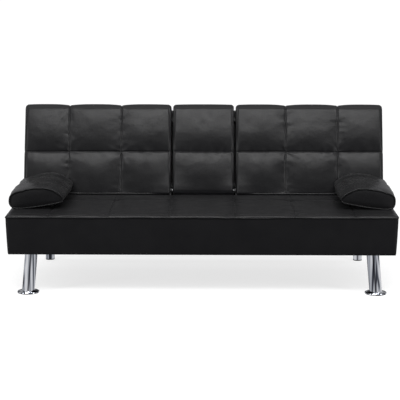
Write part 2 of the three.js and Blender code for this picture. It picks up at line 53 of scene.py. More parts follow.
# ---- Places from the frame, in millimetres ------------------------------------------------
SEAT_LOW, SEAT_HIGH = (np.array(corner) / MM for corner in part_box("seat_cover"))
HINGE = np.array(JOINT["backrest_recline"]["pos_m"]) / MM
LEAN = math.radians(JOINT["console_fold"]["range_deg"][1] - 90)
HALF_WIDTH = SEAT_HIGH[0]
SEAT_FRONT, SEAT_REAR = SEAT_LOW[1], SEAT_HIGH[1]
SEAT_BOTTOM, SEAT_TOP = SEAT_LOW[2], SEAT_HIGH[2]

# The backrest's own axes: n runs back through its thickness and u up along it.
AXIS_N = np.array([0, math.cos(LEAN), -math.sin(LEAN)])
AXIS_U = np.array([0, math.sin(LEAN), math.cos(LEAN)])
BACK_FRONT, BACK_REAR = -12, 108
BACK_LOW, BACK_HIGH = 11, 439
BACK_SEAM_U = 212
SECTION_INNER = 149
SECTION_SEAMS_X = [381, 622]
CONSOLE_HALF_WIDTH = 142
CONSOLE_LOW = 16.3
CONSOLE_REAR = 73
CUP_X, CUP_U, CUP_RADIUS = 62, 262, 39
BAY_HALF_WIDTH, BAY_LOW, BAY_HIGH = 151, 14, 428
TABLE_HALF_WIDTH, TABLE_LOW, TABLE_HIGH, TABLE_THICKNESS = 127.2, 35, 414, 6.2

# Seams sewn across and along the seat's top.
SEAT_SEAMS_X = [-653, -397, -140, 140, 397, 653]
SEAT_SEAMS_Y = [SEAT_FRONT + 58, SEAT_FRONT + 404]

# Where the hinge's plates come through: across, by height in the seat's rear wall, and through
# the underside of a backrest section.
SEAT_NOTCH_X, SEAT_NOTCH_Z = (786, 806), (262, 339)
BACK_SLOT_X, BACK_SLOT_N, BACK_SLOT_U = (791, 803), (-3, 62), (5, 19)


def back_to_world(local):
    """Points (x, n, u) of the backrest's own frame, in world millimetres."""
    local = np.asarray(local, float)
    x = np.zeros_like(local)
    x[:, 0] = local[:, 0]
    return HINGE + x + np.outer(local[:, 1], AXIS_N) + np.outer(local[:, 2], AXIS_U)


# ---- Repeatable noise ---------------------------------------------------------------------
def lattice(cell, seed):
    """A number from 0 to 1 for each whole-numbered cell."""
    value = np.full(cell.shape[0], (seed * 374761393 + 1) % 2**32, dtype=np.uint64)
    for axis, prime in enumerate((73856093, 19349663, 83492791)):
        value = (value ^ (cell[:, axis].astype(np.int64) * prime).astype(np.uint64)) & 0xFFFFFFFF
        value = (value * 2654435761 + 1013904223) & 0xFFFFFFFF
        value ^= value >> 15
    return (value & 0xFFFFFF) / float(0xFFFFFF)


def noise(points, seed=0):
    """Smooth noise from -1 to 1 at an array of points, one unit to a cell."""
    base = np.floor(points)
    part = points - base
    part = part * part * (3 - 2 * part)
    total = np.zeros(len(points))
    for corner in range(8):
        step = np.array([corner & 1, corner >> 1 & 1, corner >> 2 & 1])
        weight = np.prod(np.where(step == 1, part, 1 - part), axis=1)
        total += weight * lattice(base + step, seed)
    return 2 * total - 1


def flat_noise(a, b, seed):
    """Noise over a plane."""
    return noise(np.column_stack([a, b, np.full(len(a), 3.7)]), seed)


def folds(along, across, seed, pitch, reach):
    """Short creases that start at a seam and fade with the distance from it."""
    return flat_noise(along / pitch, across / (reach * 1.6), seed) * np.exp(-np.abs(across) / reach)


# ---- Materials ----------------------------------------------------------------------------
class Nodes:
    """A material's node tree with short ways to add and join nodes."""

    def __init__(self, name):
        self.material = bpy.data.materials.new(name)
        self.material.use_nodes = True
        self.tree = self.material.node_tree
        self.shader = self.tree.nodes["Principled BSDF"]
        self.coordinates = self.add("ShaderNodeTexCoord").outputs["Object"]

    def add(self, kind, **inputs):
        node = self.tree.nodes.new(kind)
        for name, value in inputs.items():
            node.inputs[name.replace("_", " ")].default_value = value
        return node

    def link(self, source, target):
        self.tree.links.new(source, target)

    def noise(self, scale, detail=3.0, stretch=None):
        node = self.add("ShaderNodeTexNoise", Scale=scale, Detail=detail)
        self.link(self.stretched(stretch), node.inputs["Vector"])
        return node.outputs["Fac"]

    def stretched(self, stretch):
        if stretch is None:
            return self.coordinates
        mapping = self.add("ShaderNodeMapping")
        mapping.inputs["Scale"].default_value = stretch
        self.link(self.coordinates, mapping.inputs["Vector"])
        return mapping.outputs["Vector"]

    def cells(self, scale, feature="F1", stretch=None):
        node = self.add("ShaderNodeTexVoronoi", Scale=scale)
        node.feature = feature
        self.link(self.stretched(stretch), node.inputs["Vector"])
        return node.outputs["Distance"]

    def ramp(self, value, *stops):
        node = self.add("ShaderNodeValToRGB")
        self.link(value, node.inputs["Fac"])
        elements = node.color_ramp.elements
        while len(elements) < len(stops):
            elements.new(0.5)
        for element, (position, color) in zip(elements, stops):
            element.position = position
            element.color = (*color, 1)
        return node.outputs["Color"]

    def spread(self, value, low, high):
        node = self.add("ShaderNodeMapRange", To_Min=low, To_Max=high)
        self.link(value, node.inputs["Value"])
        return node.outputs["Result"]

    def mix(self, factor, one, two):
        node = self.add("ShaderNodeMix")
        node.data_type = "RGBA"
        self.link(factor, node.inputs["Factor"])
        for socket, value in ((node.inputs[6], one), (node.inputs[7], two)):
            if isinstance(value, tuple):
                socket.default_value = (*value, 1)
            else:
                self.link(value, socket)
        return node.outputs[2]

    def bump(self, height, distance, strength=1.0, below=None):
        node = self.add("ShaderNodeBump", Distance=distance, Strength=strength)
        self.link(height, node.inputs["Height"])
        if below is not None:
            self.link(below, node.inputs["Normal"])
        return node.outputs["Normal"]

    def finish(self, color, roughness, normal=None, metallic=0.0, specular=0.5):
        for name, value in (("Base Color", color), ("Roughness", roughness)):
            self.link(value, self.shader.inputs[name])
        self.shader.inputs["Metallic"].default_value = metallic
        self.shader.inputs["Specular IOR Level"].default_value = specular
        if normal is not None:
            self.link(normal, self.shader.inputs["Normal"])
        return self.material


def leather_material(name, dark, light, shine):
    """Black faux leather: fine pebbled grain, soft creases, a slightly uneven polish."""
    nodes = Nodes(name)
    color = nodes.mix(nodes.noise(5.0, 4.0), dark, light)
    roughness = nodes.spread(nodes.noise(22.0, 5.0), shine - 0.07, shine + 0.09)
    pebbles = nodes.bump(nodes.cells(1150.0, "SMOOTH_F1"), 0.00022, 0.35)
    creases = nodes.bump(nodes.noise(130.0, 6.0), 0.0009, 0.25, below=pebbles)
    soft = nodes.bump(nodes.noise(26.0, 3.0), 0.004, 0.2, below=creases)
    nodes.shader.inputs["Sheen Weight"].default_value = 0.02
    nodes.shader.inputs["Sheen Roughness"].default_value = 0.35
    return nodes.finish(color, roughness, soft, specular=0.16)


def lining_material():
    """Spun-bonded black lining: matt, with faint crossed fibres."""
    nodes = Nodes("spun_lining")
    fibres = nodes.noise(700.0, 6.0, stretch=(1, 0.25, 0.25))
    crossed = nodes.noise(700.0, 6.0, stretch=(0.25, 1, 1))
    color = nodes.mix(fibres, (0.006, 0.006, 0.007), (0.022, 0.022, 0.024))
    normal = nodes.bump(crossed, 0.0004, 0.5, below=nodes.bump(fibres, 0.0004, 0.5))
    return nodes.finish(color, nodes.spread(crossed, 0.85, 1.0), normal, specular=0.02)


def chrome_material():
    """Polished chrome with long dark and light streaks painted into its colour: painted reflections of the
    surroundings along the tube.
    """
    nodes = Nodes("polished_chrome")
    smears = nodes.noise(14.0, 4.0, stretch=(1, 1, 0.3))
    # Painted reflection: this noise, stretched along the tube, picks dark, middle and light colours from the ramp
    # below in place of the surroundings mirrored in the chrome.
    painted_reflection_bands = nodes.noise(58.0, 1.0, stretch=(1, 1, 0.02))
    dark, middle, light = (0.05, 0.055, 0.07), (0.42, 0.44, 0.48), (0.82, 0.83, 0.86)
    color = nodes.ramp(painted_reflection_bands, (0.40, dark), (0.48, middle), (0.6, light))
    return nodes.finish(color, nodes.spread(smears, 0.04, 0.11), metallic=1.0)


def steel_material():
    """Zinc-plated pressed steel, with rolling marks."""
    nodes = Nodes("zinc_steel")
    marks = nodes.noise(90.0, 5.0, stretch=(1, 0.08, 1))
    color = nodes.mix(marks, (0.14, 0.145, 0.15), (0.26, 0.265, 0.27))
    return nodes.finish(color, nodes.spread(marks, 0.28, 0.45), nodes.bump(marks, 0.0002), metallic=1.0)


def powder_material():
    """Satin black powder coat with a fine orange-peel surface."""
    nodes = Nodes("powder_coat")
    peel = nodes.noise(420.0, 2.0)
    color = nodes.mix(nodes.noise(9.0), (0.012, 0.012, 0.013), (0.022, 0.022, 0.024))
    return nodes.finish(color, nodes.spread(peel, 0.38, 0.5), nodes.bump(peel, 0.0002, 0.6))


def plastic_material():
    """Moulded black plastic with a light spark texture."""
    nodes = Nodes("moulded_plastic")
    spark = nodes.noise(900.0, 2.0)
    color = nodes.mix(nodes.noise(12.0), (0.010, 0.010, 0.011), (0.018, 0.018, 0.019))
    roughness = nodes.spread(spark, 0.5, 0.65)
    return nodes.finish(color, roughness, nodes.bump(spark, 0.0001, 0.6), specular=0.3)


def timber_material():
    """Sawn softwood with long grain."""
    nodes = Nodes("sawn_timber")
    rings = nodes.noise(38.0, 5.0, stretch=(0.08, 1, 1))
    late, early, middle = (0.42, 0.25, 0.11), (0.62, 0.42, 0.21), (0.5, 0.3, 0.14)
    color = nodes.ramp(rings, (0.3, late), (0.6, early), (0.8, middle))
    roughness = nodes.spread(rings, 0.6, 0.85)
    return nodes.finish(color, roughness, nodes.bump(rings, 0.0006, 0.6), specular=0.25)


def foam_material():
    """Open-cell cream foam."""
    nodes = Nodes("cell_foam")
    pores = nodes.cells(700.0)
    color = nodes.mix(pores, (0.42, 0.36, 0.2), (0.72, 0.64, 0.4))
    return nodes.finish(color, nodes.spread(pores, 0.85, 1.0), nodes.bump(pores, 0.0008), specular=0.1)


LEATHER = leather_material("black_leather", (0.0045, 0.0045, 0.005), (0.0080, 0.0079, 0.0085), 0.31)
PILLOW_LEATHER = leather_material("pillow_leather", (0.0045, 0.0045, 0.005), (0.0084, 0.0083, 0.0088), 0.27)
LINING = lining_material()
CHROME = chrome_material()
STEEL = steel_material()
POWDER = powder_material()
PLASTIC = plastic_material()
SLOT_MATERIAL = {
    "black_leather": LEATHER,
    "pillow_leather": PILLOW_LEATHER,
    "black_lining": LINING,
    "foam": foam_material(),
    "timber": timber_material(),
    "chrome": CHROME,
    "black_steel": POWDER,
    "zinc_steel": STEEL,
    "black_plastic": PLASTIC,
}
for part in frame["record"]["subparts"]:
    for slot in frame["nodes"][part["node"]].material_slots:
        slot.material = SLOT_MATERIAL[part["material_slot"]]


# ---- Mesh helpers -------------------------------------------------------------------------
def new_piece(name, points, faces, body, slot, replaces=(), material=None, sharp=None):
    """A smooth mesh piece from points in world millimetres, riding on a body."""
    mesh = bpy.data.meshes.new(name)
    mesh.from_pydata([tuple(p) for p in np.asarray(points) * MM], [], faces)
    mesh.update()
    mesh.materials.append(material or SLOT_MATERIAL[slot])
    mesh.polygons.foreach_set("use_smooth", [True] * len(mesh.polygons))
    if sharp:
        mesh.set_sharp_from_angle(angle=math.radians(sharp))
    piece = bpy.data.objects.new(name, mesh)
    bpy.context.scene.collection.objects.link(piece)
    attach(piece, body)
    if replaces:
        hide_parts(*replaces)
    return piece


def normals_of(points, faces):
    """The vertex normals of a mesh."""
    mesh = bpy.data.meshes.new("scratch")
    mesh.from_pydata([tuple(p) for p in points], [], faces)
    mesh.update()
    normals = np.zeros(len(points) * 3, np.float32)
    mesh.vertex_normals.foreach_get("vector", normals)
    bpy.data.meshes.remove(mesh)
    return normals.reshape(-1, 3).astype(float)


def outward(points, faces):
    """The faces of a closed mesh, turned over if it is inside out."""
    mesh = bpy.data.meshes.new("scratch")
    mesh.from_pydata([tuple(p) for p in points], [], faces)
    bm = bmesh.new()
    bm.from_mesh(mesh)
    volume = bm.calc_volume(signed=True)
    bm.free()
    bpy.data.meshes.remove(mesh)
    return faces if volume > 0 else [tuple(reversed(face)) for face in faces]


def mirrored(points, faces, mirror):
    """A mesh as it is, or turned over to the left side."""
    if mirror > 0:
        return points, faces
    return points * np.array([-1, 1, 1]), [tuple(reversed(face)) for face in faces]


def samples(low, high, pitch, seams=()):
    """Positions from low to high, with closer ones beside each seam."""
    places = list(np.linspace(low, high, max(2, round((high - low) / pitch) + 1)))
    for seam in seams:
        places = [p for p in places if abs(p - seam) > 11]
        places += [seam + step for step in (-9, -6, -4, -2.2, 0, 2.2, 4, 6, 9)]
    return np.array(sorted(p for p in places if low <= p <= high))


class Loop:
    """A rounded rectangle in the (a, b) plane that can be inset with its points kept in step.
    Its corners and sides run anticlockwise from the lower left: bottom, right, top, left."""

    def __init__(self, low, high, radii, a_places, b_places, shrink=(1, 1, 1, 1), corner=6):
        self.low, self.high = np.array(low, float), np.array(high, float)
        self.radii, self.shrink, self.corner = radii, shrink, corner
        self.shares = []
        arcs = self.arcs(0)
        for i in range(4):
            axis = i % 2
            start, end = arcs[i][-1][axis], arcs[(i + 1) % 4][0][axis]
            share = (np.asarray((a_places, b_places)[axis]) - start) / (end - start)
            self.shares.append(np.sort(share[(share > 0.01) & (share < 0.99)]))

    def arcs(self, inset):
        bottom, right, top, left = (inset * factor for factor in self.shrink)
        low_a, low_b = self.low[0] + left, self.low[1] + bottom
        high_a, high_b = self.high[0] - right, self.high[1] - top
        corners = [(low_a, low_b, 1, 1), (high_a, low_b, -1, 1)]
        corners += [(high_a, high_b, -1, -1), (low_a, high_b, 1, -1)]
        found = []
        for i, (a, b, inward_a, inward_b) in enumerate(corners):
            radius = max(self.radii[i] - 0.7 * inset, 0.05)
            angles = math.pi * (1 + 0.5 * i) + np.linspace(0, math.pi / 2, self.corner + 1)
            spots_a = a + inward_a * radius + radius * np.cos(angles)
            spots_b = b + inward_b * radius + radius * np.sin(angles)
            found.append(np.column_stack([spots_a, spots_b]))
        return found

    def points(self, inset):
        arcs = self.arcs(inset)
        spots = []
        for i in range(4):
            start, end = arcs[i][-1], arcs[(i + 1) % 4][0]
            spots += [arcs[i], start + np.outer(self.shares[i], end - start)]
        return np.concatenate(spots)


def skin(rings):
    """A closed mesh over a row of rings that have the same number of points."""
    count = len(rings[0])
    faces = []
    for r in range(len(rings) - 1):
        for k in range(count):
            m = (k + 1) % count
            faces.append((r * count + k, r * count + m, (r + 1) * count + m, (r + 1) * count + k))
    last = (len(rings) - 1) * count
    faces.append(tuple(range(count))[::-1])
    faces.append(tuple(range(last, last + count)))
    points = np.concatenate(rings)
    return points, outward(points, faces)


def loft(loop, across, end_round, end_steps=6):
    """A closed pad: the loop carried along x, rounded over into flat ends."""
    middle = (loop.high - loop.low).min() / 2
    angle = np.linspace(0, math.pi / 2, end_steps + 1)
    steps, insets = end_round * (1 - np.cos(angle)), end_round * (1 - np.sin(angle))
    cap = np.linspace(end_round, max(middle - 1.5, (middle + end_round) / 2), 8)[:0:-1]
    low, high = across[0], across[-1]
    end = [(0, inset) for inset in cap] + list(zip(steps, insets))
    rows = [(low + step, inset) for step, inset in end]
    rows += [(x, 0.0) for x in across if low + end_round + 1 < x < high - end_round - 1]
    rows += [(high - step, inset) for step, inset in end[::-1]]
    outlines = [(x, loop.points(inset)) for x, inset in rows]
    return skin([np.column_stack([np.full(len(o), x), o]) for x, o in outlines])


def tube(route, radius, sides):
    """A round cord along a route of points."""
    route = np.asarray(route, float)
    tangents = np.gradient(route, axis=0)
    tangents /= np.linalg.norm(tangents, axis=1)[:, None]
    steep = np.abs(tangents[:, 2]).max() > 0.95
    reference = np.array([0.31, 0.95, 0.05] if steep else [0.0, 0.0, 1.0])
    sideways = np.cross(tangents, reference)
    sideways /= np.linalg.norm(sideways, axis=1)[:, None]
    upwards = np.cross(sideways, tangents)
    angles = 2 * math.pi * np.arange(sides) / sides
    radii = np.broadcast_to(radius, len(route))
    rings = []
    for i in range(len(route)):
        ring = np.outer(np.cos(angles), sideways[i]) + np.outer(np.sin(angles), upwards[i])
        rings.append(route[i] + radii[i] * ring)
    return skin(rings)


def turned(profile, centre, sides=72):
    """A closed profile of (radius, height) points turned about an upright axis."""
    angles = 2 * math.pi * np.arange(sides) / sides
    circle = np.column_stack([np.cos(angles), np.sin(angles)])
    rings = []
    for radius, height in profile:
        ring = np.column_stack([circle * max(radius, 0.05), np.full(sides, height)])
        rings.append(ring + np.array([centre[0], centre[1], 0]))
    return skin(rings)


def joined(parts):
    """One mesh from several (points, faces) parts."""
    points, faces, count = [], [], 0
    for part_points, part_faces in parts:
        points.append(part_points)
        faces += [tuple(index + count for index in face) for face in part_faces]
        count += len(part_points)
    return np.concatenate(points), faces


def block(low, high):
    """A box with its edges broken by a small chamfer."""
    low, high = np.array(low, float), np.array(high, float)
    chamfer = min(0.4, 0.2 * (high - low).min())
    rings = []
    for z, inset in ((low[2], chamfer), (low[2] + chamfer, 0), (high[2] - chamfer, 0), (high[2], chamfer)):
        a, b = low + inset, high - inset
        c = chamfer
        corners = [(a[0] + c, a[1]), (b[0] - c, a[1]), (b[0], a[1] + c), (b[0], b[1] - c)]
        corners += [(b[0] - c, b[1]), (a[0] + c, b[1]), (a[0], b[1] - c), (a[0], a[1] + c)]
        rings.append(np.array([(p[0], p[1], z) for p in corners]))
    return skin(rings)


def shade_faces_with_lining(piece, direction, least):
    """Gives the faces of a piece that look along a direction the black lining: painted shade, its dark matt colour
    standing in for the shade on those faces in place of the leather's sheen.
    """
    piece.data.materials.append(LINING)
    direction = Vector(direction)
    for polygon in piece.data.polygons:
        if polygon.normal.dot(direction) > least:
            polygon.material_index = 1


def cut(piece, points, faces):
    """Subtracts a closed mesh, in world millimetres, from a piece."""
    mesh = bpy.data.meshes.new("cutter")
    mesh.from_pydata([tuple(p) for p in np.asarray(points) * MM], [], faces)
    tool = bpy.data.objects.new("cutter", mesh)
    bpy.context.scene.collection.objects.link(tool)
    modifier = piece.modifiers.new("cut", "BOOLEAN")
    modifier.operation = "DIFFERENCE"
    modifier.solver = "EXACT"
    modifier.object = tool
    bpy.context.view_layer.update()
    graph = bpy.context.evaluated_depsgraph_get()
    finished = bpy.data.meshes.new_from_object(piece.evaluated_get(graph))
    old = piece.data
    piece.modifiers.clear()
    piece.data = finished
    finished.name = piece.name
    for spare in (old, mesh):
        bpy.data.meshes.remove(spare)


# ---- Quilting -----------------------------------------------------------------------------
def dome(value, edges, power, rim=0.0):
    """1 in the middle of each interval, 0 at its seams and rim at the outer edges."""
    result = np.zeros(len(value))
    last = len(edges) - 2
    for i, (low, high) in enumerate(zip(edges[:-1], edges[1:])):
        inside = (value >= low) & (value <= high)
        share = np.clip((value - low) / (high - low), 0, 1)
        fall = np.abs(2 * share - 1) ** power
        outer = ((i == 0) & (share < 0.5)) | ((i == last) & (share > 0.5))
        fall = np.where(outer, fall * (1 - rim), fall)
        result = np.where(inside, 1 - fall, result)
    return result


def groove(distance, width=2.6):
    """1 on a seam, falling away to nothing beside it."""
    return np.exp(-((distance / width) ** 2))


def quilting(across, up, across_edges, up_edges, seed, depth=9.0, channel=3.4, pucker=2.2, rim=0.5):
    """How far a quilted cover lies below its highest point: domed cells, sewn channels,
    creases that run out of the seams, and deeper ones where two seams cross."""
    cells = dome(across, across_edges, 2.6, rim) * dome(up, up_edges, 2.2, rim)
    drop = depth * (1 - cells)
    across_seams, up_seams = across_edges[1:-1], up_edges[1:-1]
    for seams, own, other, first in ((across_seams, across, up, 0), (up_seams, up, across, 20)):
        for i, seam in enumerate(seams):
            zero = np.zeros(len(own))
            gap = own - seam - 1.4 * flat_noise(other / 90, zero, seed + first + i)
            drop += channel * groove(gap)
            drop += pucker * folds(other, gap, seed + first + 10 + i, 14, 19)
    for i, a in enumerate(across_seams):
        for j, b in enumerate(up_seams):
            radius = np.hypot(across - a, up - b)
            angle = np.arctan2(up - b, across - a)
            around = np.column_stack([3 * np.cos(angle), 3 * np.sin(angle), radius / 60])
            rays = noise(around, seed + 40 + i + 7 * j)
            drop += 4.2 * rays * np.exp(-radius / 34) * (1 - np.exp(-radius / 6))
            drop += 5.0 * np.exp(-((radius / 20) ** 2))
    broad, fine = flat_noise(across / 95, up / 95, seed + 50), flat_noise(across / 34, up / 34, seed + 51)
    drop += 1.3 * broad + 0.5 * fine
    return drop


def facing(value, low, high):
    """How far a value has got from low to high, as a share from 0 to 1."""
    return np.clip((value - low) / (high - low), 0, 1)


# ---- Seat ---------------------------------------------------------------------------------
def build_seat():
    """The seat's upholstery: a quilted top, a plain front and ends, notched for the hinges."""
    pitch = 7.0
    loop = Loop(
        (SEAT_FRONT, SEAT_BOTTOM),
        (SEAT_REAR, SEAT_TOP),
        (8, 5, 6, 10),
        samples(SEAT_FRONT, SEAT_REAR, pitch, SEAT_SEAMS_Y),
        samples(SEAT_BOTTOM, SEAT_TOP, pitch),
    )
    across = samples(-HALF_WIDTH, HALF_WIDTH, pitch, SEAT_SEAMS_X)
    points, faces = loft(loop, across, 10)
    normals = normals_of(points, faces)
    x, y, z = points.T
    edges_x = [-HALF_WIDTH, *SEAT_SEAMS_X, HALF_WIDTH]
    edges_y = [SEAT_FRONT, *SEAT_SEAMS_Y, SEAT_REAR]
    rear = 1 - np.exp(-(SEAT_REAR - y) / 30)
    soft = quilting(x, y, edges_x, edges_y, 3, depth=2.6, channel=2.2, pucker=1.5, rim=0.9)
    drop = facing(normals[:, 2], 0.25, 0.85) * rear * soft
    edge = np.exp(-(SEAT_TOP - z) / 26)
    waves = 1.5 * flat_noise(x / 170, z / 70, 5) + 0.9 * flat_noise(x / 30, z / 46, 6) * (0.15 + edge)
    drop += facing(-normals[:, 1], 0.4, 0.9) * (1.6 + waves + 1.4 * np.exp(-(z - SEAT_BOTTOM) / 14))
    sides = 1.2 * flat_noise(y / 120, z / 60, 8) - 3.5 + 6.5 * facing(SEAT_TOP - z, 10, 170)
    drop += facing(np.abs(normals[:, 0]), 0.4, 0.9) * sides
    seat = new_piece(
        "seat_upholstery",
        points - normals * drop[:, None],
        faces,
        "base",
        "black_leather",
        ("seat_cover", "seat_foam"),
    )
    for side in (-1, 1):
        inner, outer = sorted(side * x for x in SEAT_NOTCH_X)
        low, high = SEAT_NOTCH_Z
        cut(seat, *block((inner, SEAT_REAR - 32, low), (outer, SEAT_REAR + 20, high)))
    under_low = (5 - HALF_WIDTH, SEAT_FRONT + 10, SEAT_BOTTOM - 15)
    cut(seat, *block(under_low, (HALF_WIDTH - 5, SEAT_REAR - 8, SEAT_BOTTOM + 3)))


def build_seat_welt():
    """The piped seam round the top of the seat's front and ends, with its slight waves."""
    corner = 9
    reach, front, rear = HALF_WIDTH + 2.5, SEAT_FRONT + 0.5, SEAT_REAR - 12
    angles = np.linspace(0, math.pi / 2, 8)[1:-1]
    right = [(reach - corner + corner * math.sin(a), front + corner - corner * math.cos(a)) for a in angles]
    right += [(reach, y) for y in np.arange(front + corner, rear, 12)]
    middle = [(x, front) for x in np.arange(corner - reach, reach - corner + 1, 8)]
    path = np.array([(-x, y) for x, y in right[::-1]] + middle + right)
    x, y = path.T
    wander = 1.5 * flat_noise(x / 130, y / 130, 12) + 0.8 * flat_noise(x / 26, y / 26, 13)
    inward = 0.8 * flat_noise(x / 40, y / 40, 14)
    route = np.column_stack([x, y + inward, SEAT_TOP - 8 + wander])
    new_piece("seat_welt", *tube(route, 3.2, 10), "base", "black_leather")


def build_tuck_roll():
    """A thin padded roll that closes the slit between seat and backrest, along the hinge line."""
    reach, count = 782, 160
    across = np.linspace(-reach, reach, count)
    radius = 8.6 + 0.2 * flat_noise(across / 60, np.zeros(count), 17)
    radius *= np.minimum(1, np.sqrt(np.clip((reach + 1 - np.abs(across)) / 9, 0.02, 1)))
    route = np.column_stack([across, np.full(count, HINGE[1] + 1.5), np.full(count, HINGE[2])])
    new_piece("seat_tuck_roll", *tube(route, radius, 20), "base", "black_leather")


def build_dust_cover():
    """The spun lining stapled under the seat."""
    low, high = (np.array(corner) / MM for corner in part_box("seat_dust_cover"))
    staples = []
    for x in np.arange(low[0] + 25, high[0] - 24, 60):
        for y in (low[1] + 9, high[1] - 9):
            staples.append(block((x - 5, y - 0.5, low[2] - 0.7), (x + 5, y + 0.5, low[2] + 0.2)))
    for y in np.arange(low[1] + 60, high[1] - 50, 60):
        for x in (low[0] + 9, high[0] - 9):
            staples.append(block((x - 0.5, y - 5, low[2] - 0.7), (x + 0.5, y + 5, low[2] + 0.2)))
    new_piece("dust_cover_staples", *joined(staples), "base", "zinc_steel", sharp=30)


# ---- Backrest -----------------------------------------------------------------------------
def back_pocket(piece, x0, x1, n0, u0, u1):
    """A shallow recess in the rear of a backrest piece."""
    points, faces = block((x0, n0, u0), (x1, n0 + 60, u1))
    cut(piece, back_to_world(points), faces)


def end_drop(normals, n, u):
    """The sides of a back cushion pull in a little, most at the seam across it."""
    ends = facing(np.abs(normals[:, 0]), 0.5, 0.9)
    near_front = np.exp(-np.clip(n - BACK_FRONT, 0, None) / 16)
    seam = near_front * 3.0 * groove(u - BACK_SEAM_U, 6)
    return ends * (0.8 + 0.7 * flat_noise(n / 50, u / 90, 9) + seam)


def arch(u):
    """The backrest's front is very slightly arched from its foot to its top."""
    return 7 * ((u - BACK_SEAM_U) / (BACK_HIGH - BACK_SEAM_U)) ** 2


def full_corner(from_gap, u):
    """How much of the quilting is kept: little of it over the pivot blocks beside the gaps."""
    return 1 - 0.85 * (1 - facing(from_gap, 28, 100)) * (1 - facing(u, 52, 130))


def build_section(side, mirror, seed):
    """One wide backrest section, quilted three cells by two, with its lining recessed behind."""
    loop = Loop(
        (BACK_FRONT, BACK_LOW),
        (BACK_REAR, BACK_HIGH),
        (9, 10, 24, 26),
        samples(BACK_FRONT, BACK_REAR, 7),
        samples(BACK_LOW, BACK_HIGH, 7, [BACK_SEAM_U]),
        shrink=(0.5, 0.4, 1, 1),
    )
    points, faces = loft(loop, samples(SECTION_INNER, HALF_WIDTH, 7, SECTION_SEAMS_X), 15)
    normals = normals_of(points, faces)
    x, n, u = points.T
    edges_x = [SECTION_INNER, *SECTION_SEAMS_X, HALF_WIDTH]
    front = facing(-normals[:, 1], 0.1, 0.7)
    foot = 1 - 0.15 * np.exp(-(u - BACK_LOW) / 14)
    quilted = quilting(x, u, edges_x, [BACK_LOW, BACK_SEAM_U, BACK_HIGH], seed) + arch(u)
    drop = front * foot * quilted * full_corner(x - SECTION_INNER, u)
    seams = sum(groove(x - seam) for seam in SECTION_SEAMS_X)
    top = facing(normals[:, 2], 0.3, 0.9) * (1 - front)
    drop += top * (6.0 * (1 - dome(x, edges_x, 2.8, 0.5)) + 3.5 * seams)
    drop += end_drop(normals, n, u)
    points, faces = mirrored(points - normals * drop[:, None], faces, mirror)
    replaced = (f"back_cover_{side}", f"back_foam_{side}")
    section = new_piece(
        f"back_upholstery_{side}", back_to_world(points), faces, "backrest", "black_leather", replaced
    )
    edges = sorted((mirror * 179, mirror * 800))
    back_pocket(section, *edges, BACK_REAR - 4, 45, 405)
    slot = sorted(mirror * x for x in BACK_SLOT_X)
    low, high = zip(slot, BACK_SLOT_N, BACK_SLOT_U)
    points, faces = block(low, high)
    cut(section, back_to_world(points), faces)
    # Painted shade: the section's downward faces get the dark lining so they read as shaded.
    shade_faces_with_lining(section, -AXIS_U, 0.8)


def build_section_staples(side, mirror):
    """Staples round the lining behind each section."""
    staples = []
    rear = BACK_REAR - 2.7
    for x in np.arange(190, 796, 40):
        for u in (53, 397):
            staples.append(block((x - 5, rear, u - 0.5), (x + 5, rear + 0.8, u + 0.5)))
    for u in np.arange(85, 380, 40):
        for x in (187, 792):
            staples.append(block((x - 0.5, rear, u - 5), (x + 0.5, rear + 0.8, u + 5)))
    points, faces = mirrored(*joined(staples), mirror)
    new_piece(f"lining_staples_{side}", back_to_world(points), faces, "backrest", "zinc_steel", sharp=30)


def build_console():
    """The narrow middle section, with a recess for its table pad and two bores for the cups."""
    loop = Loop(
        (BACK_FRONT, CONSOLE_LOW),
        (CONSOLE_REAR, BACK_HIGH),
        (16, 8, 12, 26),
        samples(BACK_FRONT, CONSOLE_REAR, 7),
        samples(CONSOLE_LOW, BACK_HIGH, 6, [BACK_SEAM_U]),
        shrink=(0.5, 0.3, 1, 1),
    )
    points, faces = loft(loop, samples(-CONSOLE_HALF_WIDTH, CONSOLE_HALF_WIDTH, 6), 14)
    normals = normals_of(points, faces)
    x, n, u = points.T
    edges_x = [-CONSOLE_HALF_WIDTH, CONSOLE_HALF_WIDTH]
    front = facing(-normals[:, 1], 0.1, 0.7)
    foot = 1 - 0.15 * np.exp(-(u - CONSOLE_LOW) / 14)
    quilted = quilting(x, u, edges_x, [CONSOLE_LOW, BACK_SEAM_U, BACK_HIGH], 71) + arch(u)
    drop = front * foot * quilted * full_corner(CONSOLE_HALF_WIDTH - np.abs(x), u)
    drop += (1 - front) * facing(normals[:, 2], 0.3, 0.9) * 5.0 * (1 - dome(x, edges_x, 2.8, 0.5))
    drop += end_drop(normals, n, u)
    console = new_piece(
        "console_upholstery",
        back_to_world(points - normals * drop[:, None]),
        faces,
        "console",
        "black_leather",
        ("console_cover", "console_foam"),
    )
    back_pocket(console, -128, 128, CONSOLE_REAR - 6.5, 34, 415)
    for cup in (-CUP_X, CUP_X):
        cut(console, *cup_cutter(cup, CUP_RADIUS + 1.6, 14.5))
    # Painted shade: the console's downward and rounded lower faces get the dark lining so they read as shaded.
    shade_faces_with_lining(console, -AXIS_U, 0.55)


def build_spacer(side, mirror):
    """The plastic spacer round the console's pivot pin, between the console and the section."""
    low, high = (np.array(corner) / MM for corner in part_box(f"console_pivot_pin_{side}"))
    centre = (low + high) / 2
    profile = [(8.8, CONSOLE_HALF_WIDTH + 0.6), (9.2, 145), (8.8, SECTION_INNER + 2)]
    points, faces = turned(profile, (0, 0), 40)
    ring = np.column_stack([mirror * points[:, 2], centre[1] + points[:, 0], centre[2] + points[:, 1]])
    new_piece(f"pivot_spacer_{side}", ring, outward(ring, faces), "backrest", "black_plastic", sharp=50)


